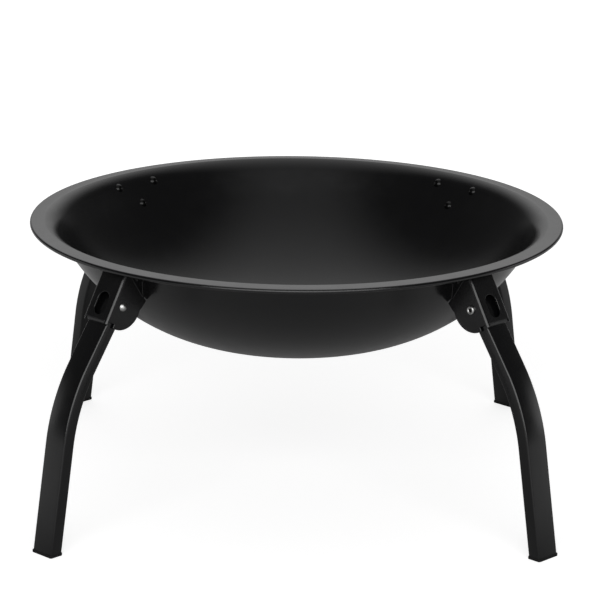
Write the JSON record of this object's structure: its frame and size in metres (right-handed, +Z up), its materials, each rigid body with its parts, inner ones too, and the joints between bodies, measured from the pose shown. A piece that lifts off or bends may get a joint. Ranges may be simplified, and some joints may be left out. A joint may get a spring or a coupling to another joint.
{
  "type": "folding fire pit",
  "caption": "Round black steel fire bowl with a flat rim on bent tube legs that fold under it on riveted brackets.",
  "frame": {"origin": "on the ground under the middle of the bowl, level with the undersides of the feet", "axes": "+Z up along the bowl's axis, -Y towards the viewer of the picture, a leg midway in each quarter"},
  "size_m": [0.56, 0.56, 0.286],
  "materials": {
    "powder_coat": "satin",
    "rivet_black": "satin",
    "zinc": "satin",
    "nylon": "matte",
    "cap_plastic": "matte"
  },
  "bodies": {
    "stand": {"bowl": "powder_coat", "bracket_rear_right": "powder_coat", "bracket_rear_left": "powder_coat", "bracket_front_left": "powder_coat", "bracket_front_right": "powder_coat", "bracket_rivets_rear_right": "rivet_black", "bracket_rivets_rear_left": "rivet_black", "bracket_rivets_front_left": "rivet_black", "bracket_rivets_front_right": "rivet_black", "pivot_rivet_rear_right": "zinc", "pivot_rivet_rear_left": "zinc", "pivot_rivet_front_left": "zinc", "pivot_rivet_front_right": "zinc", "pivot_washers_rear_right": "nylon", "pivot_washers_rear_left": "nylon", "pivot_washers_front_left": "nylon", "pivot_washers_front_right": "nylon"},
    "leg_body_rear_right": {"leg_rear_right": "powder_coat", "foot_cap_rear_right": "cap_plastic"},
    "leg_body_rear_left": {"leg_rear_left": "powder_coat", "foot_cap_rear_left": "cap_plastic"},
    "leg_body_front_left": {"leg_front_left": "powder_coat", "foot_cap_front_left": "cap_plastic"},
    "leg_body_front_right": {"leg_front_right": "powder_coat", "foot_cap_front_right": "cap_plastic"}
  },
  "joints": [
    {"name": "leg_fold_rear_right", "type": "hinge", "parent": "stand", "child": "leg_body_rear_right", "pos_m": [0.18526, 0.18526, 0.2425], "axis": [-0.7071, 0.7071, 0], "range_deg": [0, 84]},
    {"name": "leg_fold_rear_left", "type": "hinge", "parent": "stand", "child": "leg_body_rear_left", "pos_m": [-0.18526, 0.18526, 0.2425], "axis": [-0.7071, -0.7071, 0], "range_deg": [0, 84]},
    {"name": "leg_fold_front_left", "type": "hinge", "parent": "stand", "child": "leg_body_front_left", "pos_m": [-0.18526, -0.18526, 0.2425], "axis": [0.7071, -0.7071, 0], "range_deg": [0, 84]},
    {"name": "leg_fold_front_right", "type": "hinge", "parent": "stand", "child": "leg_body_front_right", "pos_m": [0.18526, -0.18526, 0.2425], "axis": [0.7071, 0.7071, 0], "range_deg": [0, 84]}
  ]
}
